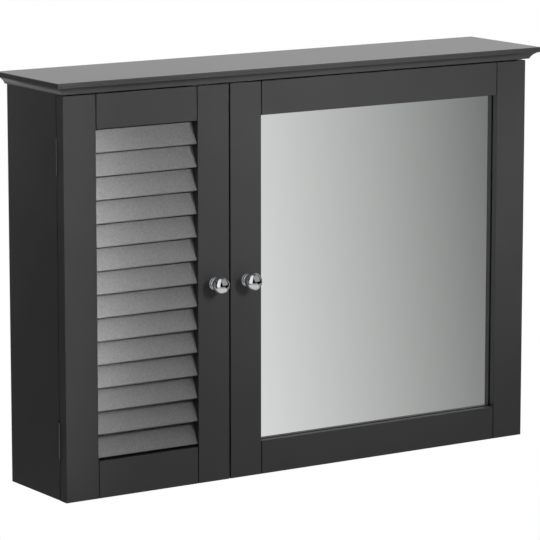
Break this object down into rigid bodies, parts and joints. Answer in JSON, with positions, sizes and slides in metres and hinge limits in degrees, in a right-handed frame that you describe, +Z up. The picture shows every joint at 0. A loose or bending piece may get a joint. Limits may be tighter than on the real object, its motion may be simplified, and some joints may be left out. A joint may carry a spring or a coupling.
{
  "type": "bathroom mirror cabinet",
  "caption": "Wall-hung bathroom cabinet with a fixed-louvre door and a framed mirror door on butt hinges, a moulded top board, turned knobs, shelves and magnetic catches.",
  "frame": {"origin": "on the wall, midway between the two wall-screw holes in the hanging rail", "axes": "+X to the viewer's right along the width, +Y back towards the wall, +Z up"},
  "size_m": [0.7, 0.159, 0.501],
  "materials": {
    "painted_board": "satin anthracite paint on fibreboard",
    "painted_slat": "satin mid-grey paint",
    "dark_steel": "burnished dark steel",
    "hardboard": "raw pressed hardboard",
    "mirror": "silvered float glass",
    "chrome": "polished chrome plate",
    "plated_steel": "bright zinc plate",
    "zinc": "die-cast zinc",
    "beech": "fluted raw beech",
    "catch_plastic": "moulded",
    "magnet": "ground ferrite"
  },
  "bodies": {
    "cabinet": {"back_panel": "hardboard", "back_panel_nails": "plated_steel", "bottom_panel": "painted_board", "cam_bolts": "zinc", "cam_discs": "zinc", "case_screws": "plated_steel", "catch_louvre": "catch_plastic", "catch_magnets": "magnet", "catch_mirror": "catch_plastic", "centre_divider": "painted_board", "dowels": "beech", "hanging_rail": "painted_board", "hinge_pins": "dark_steel", "louvre_hinge_lower_case_leaf": "dark_steel", "louvre_hinge_upper_case_leaf": "dark_steel", "mirror_hinge_lower_case_leaf": "dark_steel", "mirror_hinge_upper_case_leaf": "dark_steel", "shelf_left": "painted_board", "shelf_pins": "plated_steel", "shelf_right": "painted_board", "side_panel_left": "painted_board", "side_panel_right": "painted_board", "top_board": "painted_board"},
    "louvre_door": {"louvre_door_screws": "plated_steel", "louvre_hinge_lower_door_leaf": "dark_steel", "louvre_hinge_upper_door_leaf": "dark_steel", "louvre_knob": "chrome", "louvre_knob_screw": "plated_steel", "louvre_rail_bottom": "painted_board", "louvre_rail_top": "painted_board", "louvre_slat_01": "painted_slat", "louvre_slat_02": "painted_slat", "louvre_slat_03": "painted_slat", "louvre_slat_04": "painted_slat", "louvre_slat_05": "painted_slat", "louvre_slat_06": "painted_slat", "louvre_slat_07": "painted_slat", "louvre_slat_08": "painted_slat", "louvre_slat_09": "painted_slat", "louvre_slat_10": "painted_slat", "louvre_slat_11": "painted_slat", "louvre_slat_12": "painted_slat", "louvre_slat_13": "painted_slat", "louvre_slat_14": "painted_slat", "louvre_stile_inner": "painted_board", "louvre_stile_outer": "painted_board", "louvre_strike_plate": "plated_steel"},
    "mirror_door": {"mirror_backing": "hardboard", "mirror_door_screws": "plated_steel", "mirror_glass": "mirror", "mirror_hinge_lower_door_leaf": "dark_steel", "mirror_hinge_upper_door_leaf": "dark_steel", "mirror_knob": "chrome", "mirror_knob_screw": "plated_steel", "mirror_rail_bottom": "painted_board", "mirror_rail_top": "painted_board", "mirror_retainers": "plated_steel", "mirror_stile_inner": "painted_board", "mirror_stile_outer": "painted_board", "mirror_strike_plate": "plated_steel"}
  },
  "joints": [
    {"name": "louvre_door_hinge", "type": "hinge", "parent": "cabinet", "child": "louvre_door", "pos_m": [-0.336, -0.117, 0], "axis": [0, 0, -1], "range_deg": [0, 175]},
    {"name": "mirror_door_hinge", "type": "hinge", "parent": "cabinet", "child": "mirror_door", "pos_m": [0.336, -0.117, 0], "axis": [0, 0, 1], "range_deg": [0, 175]}
  ]
}
